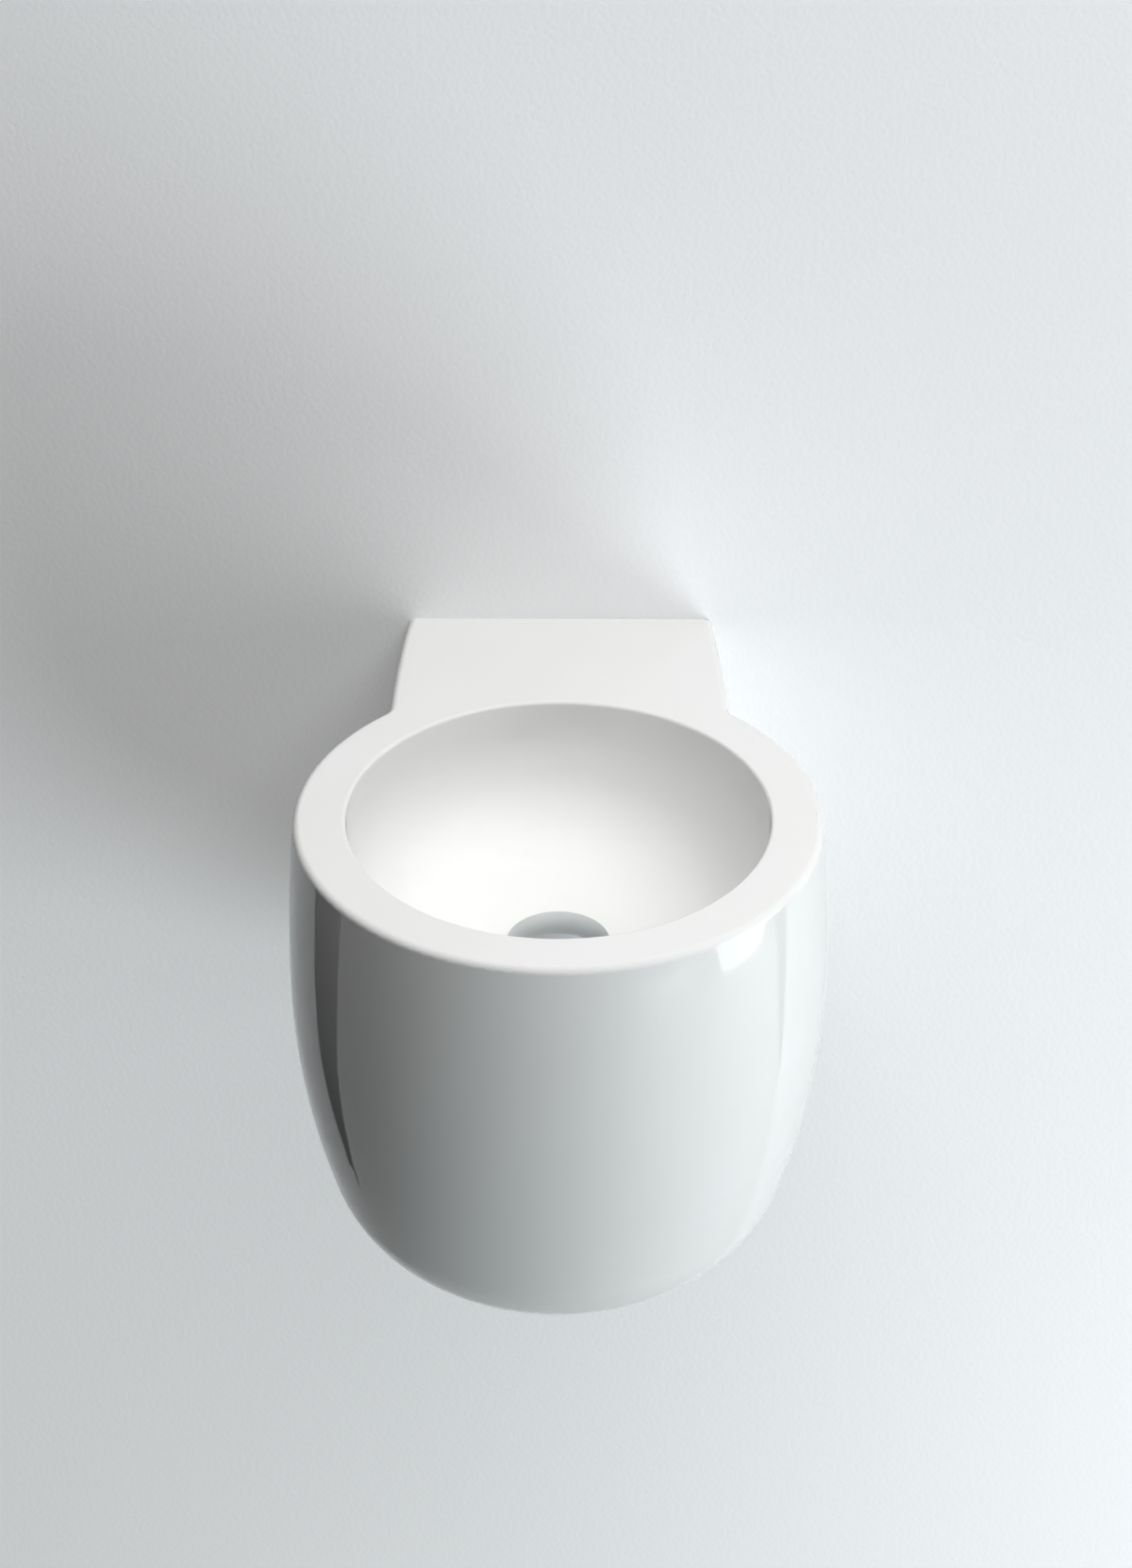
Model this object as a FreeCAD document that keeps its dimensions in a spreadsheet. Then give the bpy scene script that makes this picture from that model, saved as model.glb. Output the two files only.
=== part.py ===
import FreeCAD, Part
import math
import os
import sys

import Sketcher

# Wall hung hand basin with its waste, bottle trap and wall fixings, in millimetres.
#
# Row frame: +Z is up, the wall is the plane Y = 0 and the basin stands out of it towards -Y.
# The origin lies on the wall, midway between the two wall studs.
#
# Pieces on the bowl's upright axis are drawn as (radius, height), with heights counted from the
# deck plane, so a height is minus a "drop". Pieces on the outlet's level axis are drawn as
# (radius, reach), with the reach counted from the bowl's axis towards the wall.

DRIVING_SIZES = {
    # outer form of the casting
    "deck_height": 70.0,       # deck plane above the wall studs
    "bowl_reach": 256.0,       # wall to the bowl's axis
    "rim_radius": 174.4,       # outer edge at the deck, before it is rounded
    "rim_round": 9.0,
    "belly_radius": 181.6,     # widest place of the egg
    "belly_drop": 125.0,
    "foot_drop": 341.0,
    "foot_flat": 76.0,         # radius of the flat under the egg
    "foot_corner": 88.0,       # radius of the turn from the side to the foot
    "neck_half_wall": 110.4,   # half the neck's width at the wall
    "neck_half_front": 117.9,  # the same inside the egg, where the side ends
    "neck_run": 150.0,         # wall to that place
    "neck_drop": 300.0,        # deck to the neck's underside
    "neck_corner": 92.0,       # rounding along the neck's underside
    "neck_blend": 14.0,        # fillet between the neck and the egg
    # the hollow inside the casting
    "shell_wall": 10.0,
    "deck_wall": 14.0,
    "back_wall": 14.0,
    "plate_drop": 105.0,       # lower edge of the closed back plate
    "core_gap": 6.0,           # from the bowl's wall to the hollow in the neck
    "low_run": 141.0,          # wall to the front of the neck's hollow below the back plate
    "access_radius": 62.0,     # hand hole in the foot
    "access_bevel": 3.0,
    # bowl
    "bowl_radius": 140.0,
    "bowl_edge_round": 6.0,
    "bowl_straight": 24.0,     # depth of the upright part of the bowl's wall
    "bowl_turn": 78.0,         # radius between the wall and the floor
    "bowl_depth": 118.0,
    "recess_radius": 33.5,     # seat for the waste flange
    "recess_drop": 121.0,
    "waste_hole": 23.0,
    "boss_radius": 36.0,
    "boss_drop": 136.0,
    # wall fixings
    "stud_spacing": 140.0,
    "stud_hole": 8.0,
    "screw_radius": 5.0,       # wood thread in the wall
    "screw_length": 55.0,
    "screw_point": 6.0,
    "stud_radius": 4.5,        # M10 thread in the basin, at its pitch line
    "stud_reach": 36.0,        # wall to the stud's free end
    "sleeve_radius": 7.7,
    "sleeve_bore": 4.6,
    "sleeve_clear": 1.0,       # wall to the sleeve's end
    "sleeve_flange": 13.0,
    "sleeve_flange_thick": 3.0,
    "washer_radius": 11.0,
    "washer_thick": 2.0,
    "nut_across": 17.0,        # across the flats
    "nut_height": 8.4,
    # waste
    "thread_radius": 20.95,    # G 1 1/4 thread, at its crest
    "thread_clear": 0.05,      # left between a thread and its nut
    "waste_bore": 18.5,
    "flange_radius": 32.0,
    "flange_thick": 3.0,
    "flange_seal_thick": 1.5,
    "dish_rim": 29.5,          # shallow dish in the flange, which the plug's seal enters
    "dish_radius": 27.5,
    "dish_depth": 1.5,
    "throat_radius": 20.0,     # cone from the dish down into the bore
    "throat_depth": 4.5,
    "tail_drop": 182.0,        # lower end of the threaded tail
    "bar_drop": 141.0,         # top of the cross bars
    "bar_thick": 5.0,
    "bar_width": 4.5,
    "hub_radius": 9.0,
    # plug and its click cartridge
    "cap_radius": 35.0,
    "cap_top_drop": 98.0,
    "cap_shoulder_drop": 104.0,
    "cap_under_drop": 103.5,
    "cap_edge_drop": 106.0,
    "cap_lip": 1.6,
    "plug_seal_radius": 26.8,
    "plug_seal_inner": 22.5,
    "plug_seal_waist": 108.0,
    "plug_seal_nose": 25.4,
    "plug_seal_drop": 109.6,
    "stem_radius": 4.5,
    "stem_bore": 3.4,
    "stem_thread": 4.0,
    "stem_thread_top": 100.5,
    "stem_ceiling": 110.0,     # end of the stem's bore, where the spring pushes
    "stem_foot": 129.0,
    "cartridge_radius": 7.0,
    "cartridge_bore": 4.6,
    "cartridge_top": 115.0,
    "cartridge_floor": 139.0,
    "stub_radius": 5.0,        # thread that holds the cartridge in the cross bars
    "stub_drop": 149.0,
    "spring_radius": 2.75,     # to the middle of the wire
    "spring_wire": 0.7,
    "spring_pitch": 4.0,
    # below the bowl
    "tail_seal_radius": 32.0,
    "tail_seal_nose": 22.6,
    "tail_seal_rise": 4.0,     # how far its nose stands up into the waste hole
    "tail_seal_thick": 5.0,
    "slip_washer_thick": 1.5,
    "slip_washer_radius": 31.0,
    "lock_nut_across": 52.0,
    "lock_nut_height": 9.0,
    # trap inlet
    "union_across": 50.0,      # across the flats of the three union nuts
    "union_lip": 3.0,
    "tube_radius": 16.0,
    "tube_bore": 14.5,
    "tube_clear": 0.4,         # between a tube and a nut's lip
    "inlet_nut_top": 162.0,
    "ring_thick": 2.5,         # flat seal and tube flange below the waste
    "ring_radius": 20.5,
    "dip_end": 309.0,
    # trap
    "top_nut_top": 196.0,
    "top_nut_height": 20.0,
    "cone_seal_thick": 5.0,
    "trap_neck_top": 204.0,
    "trap_neck_radius": 22.0,
    "trap_neck_bore": 17.0,
    "trap_neck_end": 218.0,
    "trap_shoulder": 226.0,
    "trap_radius": 30.0,
    "trap_wall": 2.5,
    "trap_thread_top": 278.0,
    "trap_thread_radius": 28.5,
    "trap_thread_bore": 25.5,
    "trap_end": 292.0,
    "cup_clear": 0.3,          # between the cup and the trap
    "cup_radius": 32.0,
    "cup_wall": 3.0,
    "cup_end": 328.0,
    "cup_corner": 14.0,
    "cup_seal_thick": 1.6,
    "cup_ledge": 24.5,         # inner radius of the ring that carries the cup's seal
    "cup_rib": 1.2,
    "cup_rib_width": 5.0,
    "cup_rib_end": 306.0,
    # outlet
    "outlet_drop": 244.0,
    "spigot_reach": 54.0,
    "spigot_bore": 16.3,
    "outlet_nut_start": 38.0,
    "outlet_nut_end": 62.0,
    "pipe_start": 33.0,
    "pipe_past_wall": 60.0,
    "pipe_groove": 15.6,       # stop groove at the wall
    "pipe_groove_wide": 3.5,
    "rosette_radius": 38.0,
    "rosette_crown": 21.0,
    "rosette_rise": 11.0,
    "rosette_thick": 1.5,
}
RIB_COUNT = 12      # grip ribs on the trap cup
BAR_COUNT = 4       # arms of the cross in the waste
CUP_TURN = 0.3      # share of the trap cup's corner that its middle step keeps
CONE_SHOULDER = 0.3  # share of a cone seal's length that stays straight
BREAK = 5.0         # how far a cutting outline runs out into the air
NEAR = 0.01         # places closer than this are taken as the same
# Shares of the casting's curved runs at which the hollow's straight runs change direction.
FOOT_STEPS = (0.72, 0.38)
SIDE_STEPS = (1.0, 0.5)
BOWL_STEPS = (0.0, 0.5, 0.85)


class Size:
    """A length, together with the expression on the sheet that drives it."""

    def __init__(self, number, text):
        self.number = float(number)
        self.text = text

    @staticmethod
    def of(thing):
        return thing if isinstance(thing, Size) else Size(thing, repr(float(thing)))

    def joined(self, sign, other, number):
        return Size(number, f"({self.text} {sign} {other.text})")

    def __add__(self, other):
        other = Size.of(other)
        return self.joined("+", other, self.number + other.number)

    def __sub__(self, other):
        other = Size.of(other)
        return self.joined("-", other, self.number - other.number)

    def __mul__(self, other):
        other = Size.of(other)
        return self.joined("*", other, self.number * other.number)

    def __truediv__(self, other):
        other = Size.of(other)
        return self.joined("/", other, self.number / other.number)

    def __radd__(self, other):
        return Size.of(other) + self

    def __rsub__(self, other):
        return Size.of(other) - self

    def __rmul__(self, other):
        return Size.of(other) * self

    def __neg__(self):
        return Size(-self.number, f"(-1 * {self.text})")


def square(size):
    return size * size


def root(size):
    return Size(math.sqrt(size.number), f"sqrt({size.text})")


class Sizes:
    """Writes the sheet and hands out its cells by name."""

    def __init__(self, doc):
        sheet = doc.addObject("Spreadsheet::Sheet", "Sizes")
        for row, (alias, number) in enumerate(DRIVING_SIZES.items(), start=1):
            sheet.set(f"A{row}", alias)
            sheet.set(f"B{row}", str(number))
            sheet.setAlias(f"B{row}", alias)
        doc.recompute()

    def __getattr__(self, alias):
        return Size(DRIVING_SIZES[alias], f"Sizes.{alias}")


# ------------------------------------------------------------------ bodies and sketches


def new_body(doc, name, base, towards_wall=False):
    """A body whose own origin stands at base. Its Z axis points up, or towards the wall."""
    body = doc.addObject("PartDesign::Body", name)
    body.Label = name
    if towards_wall:
        turn = FreeCAD.Rotation(FreeCAD.Vector(1, 0, 0), -90)
        body.Placement = FreeCAD.Placement(FreeCAD.Vector(), turn)
    for letter, place in zip("xyz", base):
        if Size.of(place).number:
            body.setExpression(f"Placement.Base.{letter}", Size.of(place).text)
    return body


def on_bowl_axis(doc, s, name):
    return new_body(doc, name, (0, -s.bowl_reach, s.deck_height))


def on_outlet_axis(doc, s, name):
    return new_body(doc, name, (0, -s.bowl_reach, s.deck_height - s.outlet_drop), True)


def plane_of(body, role):
    return next(item for item in body.Origin.OriginFeatures if item.Role == role)


def new_sketch(body, name, role, offset=(0, 0, 0)):
    """A sketch on one of the body's own planes, moved by offset along the sketch's own axes."""
    sketch = body.newObject("Sketcher::SketchObject", name)
    sketch.AttachmentSupport = [(plane_of(body, role), "")]
    sketch.MapMode = "FlatFace"
    for letter, shift in zip("xyz", offset):
        if Size.of(shift).number:
            sketch.setExpression(f"AttachmentOffset.Base.{letter}", Size.of(shift).text)
    return sketch


def arc_between(start, end, radius):
    """The arc of under half a turn that leads from start to end: counter-clockwise where radius
    is positive, clockwise where it is negative."""
    chord = end - start
    rise = math.sqrt(max(radius**2 - (chord.Length / 2) ** 2, 0.0))
    left = FreeCAD.Vector(-chord.y, chord.x, 0).normalize()
    centre = (start + end) / 2 + left * math.copysign(rise, radius)
    first, last = (start, end) if radius > 0 else (end, start)
    angles = [math.atan2(p.y - centre.y, p.x - centre.x) for p in (first, last)]
    return Part.ArcOfCircle(
        Part.Circle(centre, FreeCAD.Vector(0, 0, 1), abs(radius)), angles[0], angles[1]
    )


def drive(sketch, constraint, size):
    index = sketch.addConstraint(constraint)
    sketch.setExpression(f"Constraints[{index}]", size.text)


def tie(sketch, geometry, end, across, up):
    """Ties one point of a line, arc or circle to the sheet."""
    for kind, axis, size in (("DistanceX", -2, Size.of(across)), ("DistanceY", -1, Size.of(up))):
        if size.number == 0:
            sketch.addConstraint(Sketcher.Constraint("PointOnObject", geometry, end, axis))
        else:
            drive(sketch, Sketcher.Constraint(kind, -1, 1, geometry, end, size.number), size)


def outline(sketch, corners):
    """A closed outline. A corner is (across, up), or (across, up, radius) where an arc leads on
    from it, as in arc_between."""
    points = [FreeCAD.Vector(Size.of(c[0]).number, Size.of(c[1]).number, 0) for c in corners]
    pieces = []
    for corner, start, end in zip(corners, points, points[1:] + points[:1]):
        if len(corner) == 2:
            index = sketch.addGeometry(Part.LineSegment(start, end))
            pieces.append((index, 1, 2))
        else:
            radius = Size.of(corner[2])
            index = sketch.addGeometry(arc_between(start, end, radius.number))
            turn = (1, 2) if radius.number > 0 else (2, 1)
            pieces.append((index, *turn))
    for i, (index, start, _) in enumerate(pieces):
        before, _, before_end = pieces[i - 1]
        sketch.addConstraint(Sketcher.Constraint("Coincident", before, before_end, index, start))
        tie(sketch, index, start, corners[i][0], corners[i][1])
    for corner, (index, _, _) in zip(corners, pieces):
        if len(corner) == 3:
            radius = Size.of(corner[2])
            radius = radius if radius.number > 0 else -radius
            drive(sketch, Sketcher.Constraint("Radius", index, radius.number), radius)


def circle(sketch, radius, across=0, up=0):
    centre = FreeCAD.Vector(Size.of(across).number, Size.of(up).number, 0)
    shape = Part.Circle(centre, FreeCAD.Vector(0, 0, 1), Size.of(radius).number)
    index = sketch.addGeometry(shape)
    tie(sketch, index, 3, across, up)
    drive(sketch, Sketcher.Constraint("Radius", index, shape.Radius), Size.of(radius))


def hexagon(sketch, across_flats):
    """A hexagon about the sketch's origin, with two of its flats across the up axis."""
    flat = across_flats / 2
    corner = across_flats / math.sqrt(3)
    outline(sketch, [
        (corner, 0),
        (corner / 2, flat),
        (-(corner / 2), flat),
        (-corner, 0),
        (-(corner / 2), -flat),
        (corner / 2, -flat),
    ])


def ring(inner, outer, low, high):
    return [(inner, low), (outer, low), (outer, high), (inner, high)]


# ------------------------------------------------------------------ features


def feature(body, kind, name, sketch, **settings):
    made = body.newObject(f"PartDesign::{kind}", name)
    made.Profile = sketch
    for key, thing in settings.items():
        if isinstance(thing, Size):
            setattr(made, key, thing.number)
            made.setExpression(key, thing.text)
        else:
            setattr(made, key, thing)
    return made


def turned(body, kind, name, corners, offset=(0, 0, 0)):
    """A Revolution or a Groove of an outline of (radius, height) about the body's Z axis."""
    sketch = new_sketch(body, f"{name}_outline", "XZ_Plane", offset)
    outline(sketch, corners)
    return feature(body, kind, name, sketch, ReferenceAxis=(sketch, ["V_Axis"]), Angle=360.0)


def rounded(body, name, base, wanted, radius):
    """Fillets the edges of the base feature that wanted picks out."""
    base.Document.recompute()
    names = [f"Edge{i}" for i, edge in enumerate(base.Shape.Edges, start=1) if wanted(edge)]
    made = body.newObject("PartDesign::Fillet", name)
    made.Base = (base, names)
    made.Radius = radius.number
    made.setExpression("Radius", radius.text)
    return made


def repeated(body, kind, name, original, **settings):
    """A pattern or mirror of one feature, which becomes the body's tip."""
    made = body.newObject(f"PartDesign::{kind}", name)
    made.Originals = [original]
    for key, thing in settings.items():
        setattr(made, key, thing)
    body.Tip = made
    return made


def chamfered(body, name, across, face, inward):
    """Turns the corners off one face of a hexagon at 30 degrees. inward is 1 where the nut
    lies above that face and -1 where it lies below."""
    flat = across / 2
    out = across / math.sqrt(3) + BREAK
    slope = math.tan(math.radians(30))
    turned(body, "Groove", name, [
        (flat - BREAK, face - inward * BREAK * slope),
        (out, face - inward * BREAK * slope),
        (out, face + (out - flat) * inward * slope),
    ])


def hexagon_blank(body, across, low, high):
    sketch = new_sketch(body, "hexagon", "XY_Plane", (0, 0, low))
    hexagon(sketch, across)
    feature(body, "Pad", "blank", sketch, Length=high - low)
    chamfered(body, "low_chamfer", across, low, 1)
    chamfered(body, "high_chamfer", across, high, -1)


def union_nut(body, s, thread, open_end, lip_end, lip_is_low):
    """A hexagon union nut along the body's Z axis: a thread from its open end, and at the other
    end a lip that pulls a seal tight round the tube."""
    low, high = (lip_end, open_end) if lip_is_low else (open_end, lip_end)
    step = lip_end + s.union_lip if lip_is_low else lip_end - s.union_lip
    thread_bore = thread + s.thread_clear
    lip_bore = s.tube_radius + s.tube_clear
    hexagon_blank(body, s.union_across, low, high)
    below, above = (lip_bore, thread_bore) if lip_is_low else (thread_bore, lip_bore)
    turned(body, "Groove", "bore", [
        (0, low - BREAK), (below, low - BREAK), (below, step),
        (above, step), (above, high + BREAK), (0, high + BREAK),
    ])


# ------------------------------------------------------------------ the casting


def neck_side_arc(s):
    """Radius of the neck's hollow sides, square to the wall where they leave it."""
    spread = s.neck_half_front - s.neck_half_wall
    return (square(spread) + square(s.neck_run)) / (2 * spread)


def side_arc(s):
    """Radius of the egg's long arc from its belly down to the foot's corner, tangent to both."""
    across = s.belly_radius - s.foot_flat
    down = s.foot_drop - s.foot_corner - s.belly_drop
    gap = across - s.foot_corner
    return (square(across) + square(down) - square(s.foot_corner)) / (2 * gap)


def foot_tangent(s):
    """Where that long arc meets the foot's corner."""
    side = side_arc(s)
    across = s.foot_flat - s.belly_radius + side
    down = s.foot_drop - s.foot_corner - s.belly_drop
    scale = side / (side - s.foot_corner)
    return s.belly_radius - side + across * scale, -s.belly_drop - down * scale


def shoulder_arc(s):
    """Radius of the egg's arc from the belly up to the rim, upright at the belly."""
    inset = s.belly_radius - s.rim_radius
    return (square(inset) + square(s.belly_drop)) / (2 * inset)


def arc_radius(middle, arc, middle_drop, drop):
    """Radius of a turned arc at a drop, with its centre at (middle, minus middle_drop)."""
    return middle + root(square(arc) - square(drop - middle_drop))


def inner_wall(s):
    """The hollow side of the egg from the foot up, as straight runs that keep the wall's
    thickness: (radius, height)."""
    wall = s.shell_wall
    knee = s.foot_drop - s.foot_corner
    points = [(s.foot_flat, wall - s.foot_drop)]
    for share in FOOT_STEPS:
        drop = knee + (s.foot_corner - wall) * share
        points.append((arc_radius(s.foot_flat, s.foot_corner - wall, knee, drop), -drop))
    for share in SIDE_STEPS:
        drop = s.belly_drop + (-foot_tangent(s)[1] - s.belly_drop) * share
        side = side_arc(s)
        points.append((arc_radius(s.belly_radius - side, side - wall, s.belly_drop, drop), -drop))
    shoulder = shoulder_arc(s)
    points.append((s.belly_radius - wall, -s.belly_drop))
    points.append((arc_radius(
        s.belly_radius - shoulder, shoulder - wall, s.belly_drop, s.bowl_straight
    ), -s.bowl_straight))
    return points


def floor_arc(s):
    """Radius of the bowl's floor, tangent to the turn of its wall."""
    across = s.bowl_radius - s.bowl_turn
    deep = s.bowl_depth - s.bowl_straight
    return (square(across) + square(deep) - square(s.bowl_turn)) / (2 * (deep - s.bowl_turn))


def floor_tangent(s):
    """Where the bowl's wall turn meets its floor."""
    arc = floor_arc(s)
    scale = arc / (arc - s.bowl_turn)
    rise = arc - (s.bowl_depth - s.bowl_straight)
    return (s.bowl_radius - s.bowl_turn) * scale, arc - s.bowl_depth - rise * scale


def floor_height(s, radius, outset):
    """Height of the bowl's floor at a radius, on a surface set out by outset."""
    arc = floor_arc(s)
    return arc - s.bowl_depth - root(square(arc + outset) - square(radius))


def under_bowl(s):
    """The bowl's underside from its upright wall down to the boss, as straight runs that keep
    the wall's thickness: (radius, height)."""
    wall = s.shell_wall
    meet_radius, meet_height = floor_tangent(s)
    turn = s.bowl_turn + wall
    points = []
    for share in BOWL_STEPS:
        drop = s.bowl_straight + (-meet_height + wall - s.bowl_straight) * share
        points.append((
            arc_radius(s.bowl_radius - s.bowl_turn, turn, s.bowl_straight, drop), -drop
        ))
    for radius in (meet_radius, (meet_radius + s.boss_radius) / 2, s.boss_radius):
        points.append((radius, floor_height(s, radius, wall)))
    return points


def neck_form(body, s):
    """The neck as a solid slab, with its underside rounded."""
    plan = new_sketch(body, "neck_plan", "XY_Plane")
    front = s.bowl_reach - s.neck_run
    arc = neck_side_arc(s)
    outline(plan, [
        (-s.neck_half_wall, s.bowl_reach, arc), (-s.neck_half_front, front),
        (-s.neck_half_front, 0), (s.neck_half_front, 0),
        (s.neck_half_front, front, arc), (s.neck_half_wall, s.bowl_reach),
    ])
    slab = feature(body, "Pad", "neck", plan, Length=s.neck_drop, Reversed=True)
    under, half_run = -s.neck_drop.number, s.neck_run.number / 2
    return rounded(body, "neck_underside", slab, lambda edge: (
        abs(edge.BoundBox.ZMax - under) < NEAR and edge.BoundBox.YLength > half_run
    ), s.neck_corner)


def egg_form(body, s):
    """The egg round the bowl, run into the neck and rounded at the rim."""
    meet = foot_tangent(s)
    egg = turned(body, "Revolution", "egg", [
        (0, -s.foot_drop),
        (s.foot_flat, -s.foot_drop, s.foot_corner),
        (*meet, side_arc(s)),
        (s.belly_radius, -s.belly_drop, shoulder_arc(s)),
        (s.rim_radius, 0), (0, 0),
    ])
    reach = s.bowl_reach.number
    blend = rounded(body, "neck_blend", egg, lambda edge: (
        edge.BoundBox.YMin > 0
        and edge.BoundBox.YMax < reach - NEAR
        and edge.BoundBox.ZMin < -NEAR
    ), s.neck_blend)
    return rounded(body, "rim_round", blend, lambda edge: (
        edge.BoundBox.ZMin > -NEAR and edge.BoundBox.YMin < reach - NEAR
    ), s.rim_round)


def neck_hollow(body, s):
    """Opens the neck to the wall below the back plate, and hollows it behind the plate."""
    half = s.neck_half_wall - s.shell_wall
    turn = s.neck_corner - s.shell_wall
    floor = s.shell_wall - s.neck_drop
    low = new_sketch(body, "low_hollow_section", "XZ_Plane", (0, 0, -s.bowl_reach))
    outline(low, [
        (-half, -s.plate_drop), (-half, floor + turn, turn), (turn - half, floor),
        (half - turn, floor, turn), (half, floor + turn), (half, -s.plate_drop),
    ])
    feature(body, "Pocket", "low_hollow", low, Length=s.low_run, Reversed=True)

    behind = s.bowl_reach - s.back_wall
    front = s.bowl_radius + s.shell_wall + s.core_gap
    corner = root(square(front) - square(half))
    high = new_sketch(body, "high_hollow_plan", "XY_Plane", (0, 0, -s.deck_wall))
    outline(high, [
        (-half, behind), (-half, corner, -front), (half, corner), (half, behind),
    ])
    feature(body, "Pocket", "high_hollow", high, Length=s.plate_drop - s.deck_wall)


def egg_hollow(body, s):
    """The space for the trap between the bowl and the egg, open through the foot."""
    turned(body, "Groove", "egg_hollow", [
        (0, -s.foot_drop - BREAK),
        (s.access_radius + s.access_bevel, -s.foot_drop - BREAK),
        (s.access_radius + s.access_bevel, -s.foot_drop),
        (s.access_radius, s.access_bevel - s.foot_drop),
        (s.access_radius, s.shell_wall - s.foot_drop),
        *inner_wall(s),
        *under_bowl(s),
        (s.boss_radius, -s.boss_drop),
        (0, -s.boss_drop),
    ])


def bowl(body, s):
    """The bowl, the seat for the waste's flange and the waste hole."""
    meet = floor_tangent(s)
    edge_of_seat = floor_height(s, s.recess_radius, 0)
    basin = turned(body, "Groove", "bowl", [
        (0, BREAK), (s.bowl_radius, BREAK),
        (s.bowl_radius, -s.bowl_straight, -s.bowl_turn),
        (*meet, -floor_arc(s)),
        (s.recess_radius, edge_of_seat),
        (s.recess_radius, -s.recess_drop),
        (s.waste_hole, -s.recess_drop),
        (s.waste_hole, -s.boss_drop - BREAK),
        (0, -s.boss_drop - BREAK),
    ])
    radius = s.bowl_radius.number
    rounded(body, "bowl_edge", basin, lambda edge: (
        edge.BoundBox.ZMin > -NEAR
        and abs(edge.BoundBox.XMax - radius) < NEAR
        and abs(edge.BoundBox.YMax - radius) < NEAR
    ), s.bowl_edge_round)


def stud_holes(body, s):
    holes = new_sketch(body, "stud_holes_plan", "XZ_Plane", (0, 0, -s.bowl_reach))
    for side in (-1, 1):
        circle(holes, s.stud_hole, s.stud_spacing / 2 * side, -s.deck_height)
    feature(body, "Pocket", "stud_holes", holes, Length=s.back_wall + BREAK, Reversed=True)


def basin_body(doc, s):
    body = on_bowl_axis(doc, s, "basin_body")
    neck_form(body, s)
    egg_form(body, s)
    neck_hollow(body, s)
    egg_hollow(body, s)
    bowl(body, s)
    stud_holes(body, s)
    return body


# ------------------------------------------------------------------ wall fixings


def fixing(doc, s, name, corners):
    """A turned piece on each stud, drawn as (radius, distance in front of the wall)."""
    body = new_body(doc, name, (0, 0, 0))
    body.AllowCompound = True
    sketch = new_sketch(body, f"{name}_outline", "XY_Plane", (s.stud_spacing / 2, 0, 0))
    outline(sketch, [(corner[0], -corner[1]) for corner in corners])
    piece = feature(body, "Revolution", name + "_piece", sketch,
                    ReferenceAxis=(sketch, ["V_Axis"]), Angle=360.0)
    repeated(body, "Mirrored", name + "_pair", piece, MirrorPlane=(plane_of(body, "YZ_Plane"), [""]))
    return body


def hanger_bolts(doc, s):
    """Hanger bolts: a wood thread with a point in the wall, a metal thread in the basin."""
    return fixing(doc, s, "hanger_bolts", [
        (0, s.stud_reach), (s.stud_radius, s.stud_reach), (s.stud_radius, 0),
        (s.screw_radius, 0), (s.screw_radius, -s.screw_length),
        (0, -s.screw_length - s.screw_point),
    ])


def bolt_sleeves(doc, s):
    under_flange = s.back_wall
    top = under_flange + s.sleeve_flange_thick
    return fixing(doc, s, "bolt_sleeves", [
        (s.sleeve_bore, s.sleeve_clear), (s.sleeve_radius, s.sleeve_clear),
        (s.sleeve_radius, under_flange), (s.sleeve_flange, under_flange),
        (s.sleeve_flange, top), (s.sleeve_bore, top),
    ])


def bolt_washers(doc, s):
    seat = s.back_wall + s.sleeve_flange_thick
    return fixing(doc, s, "bolt_washers", ring(
        s.sleeve_bore, s.washer_radius, seat, seat + s.washer_thick))


def bolt_nuts(doc, s):
    """Two M10 nuts, as hexagon prisms."""
    seat = s.back_wall + s.sleeve_flange_thick + s.washer_thick
    body = new_body(doc, "bolt_nuts", (0, 0, 0))
    body.AllowCompound = True
    plan = new_sketch(body, "nut_plan", "XZ_Plane", (s.stud_spacing / 2, 0, seat))
    hexagon(plan, s.nut_across)
    circle(plan, s.stud_radius + s.thread_clear)
    nut = feature(body, "Pad", "nut", plan, Length=s.nut_height)
    repeated(body, "Mirrored", "nut_pair", nut, MirrorPlane=(plane_of(body, "YZ_Plane"), [""]))
    return body


# ------------------------------------------------------------------ waste


def waste_body(doc, s):
    """The waste: a dished flange, a threaded tail and cross bars with a hub."""
    body = on_bowl_axis(doc, s, "waste_body")
    under_flange = s.flange_seal_thick - s.recess_drop
    face = under_flange + s.flange_thick
    turned(body, "Revolution", "shell", [
        (s.waste_bore, -s.tail_drop), (s.thread_radius, -s.tail_drop),
        (s.thread_radius, under_flange), (s.flange_radius, under_flange),
        (s.flange_radius, face), (s.dish_rim, face),
        (s.dish_radius, face - s.dish_depth), (s.throat_radius, face - s.dish_depth),
        (s.waste_bore, face - s.throat_depth),
    ])
    bar = new_sketch(body, "bar_plan", "XY_Plane", (0, 0, -s.bar_drop - s.bar_thick))
    half = s.bar_width / 2
    inner = (s.stub_radius + s.hub_radius) / 2
    outer = (s.waste_bore + s.thread_radius) / 2
    outline(bar, [(inner, -half), (outer, -half), (outer, half), (inner, half)])
    arm = feature(body, "Pad", "bar", bar, Length=s.bar_thick)
    axis = next(item for item in body.Origin.OriginFeatures if item.Role == "Z_Axis")
    repeated(body, "PolarPattern", "bars", arm, Axis=(axis, [""]), Angle=360.0,
             Occurrences=BAR_COUNT)
    hub = new_sketch(body, "hub_plan", "XY_Plane", (0, 0, -s.bar_drop - s.bar_thick))
    circle(hub, s.hub_radius)
    circle(hub, s.stub_radius + s.thread_clear)
    feature(body, "Pad", "hub", hub, Length=s.bar_thick)
    return body


def flange_seal(doc, s):
    body = on_bowl_axis(doc, s, "flange_seal")
    turned(body, "Revolution", "seal", ring(
        s.waste_hole, s.flange_radius, -s.recess_drop, s.flange_seal_thick - s.recess_drop))
    return body


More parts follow.
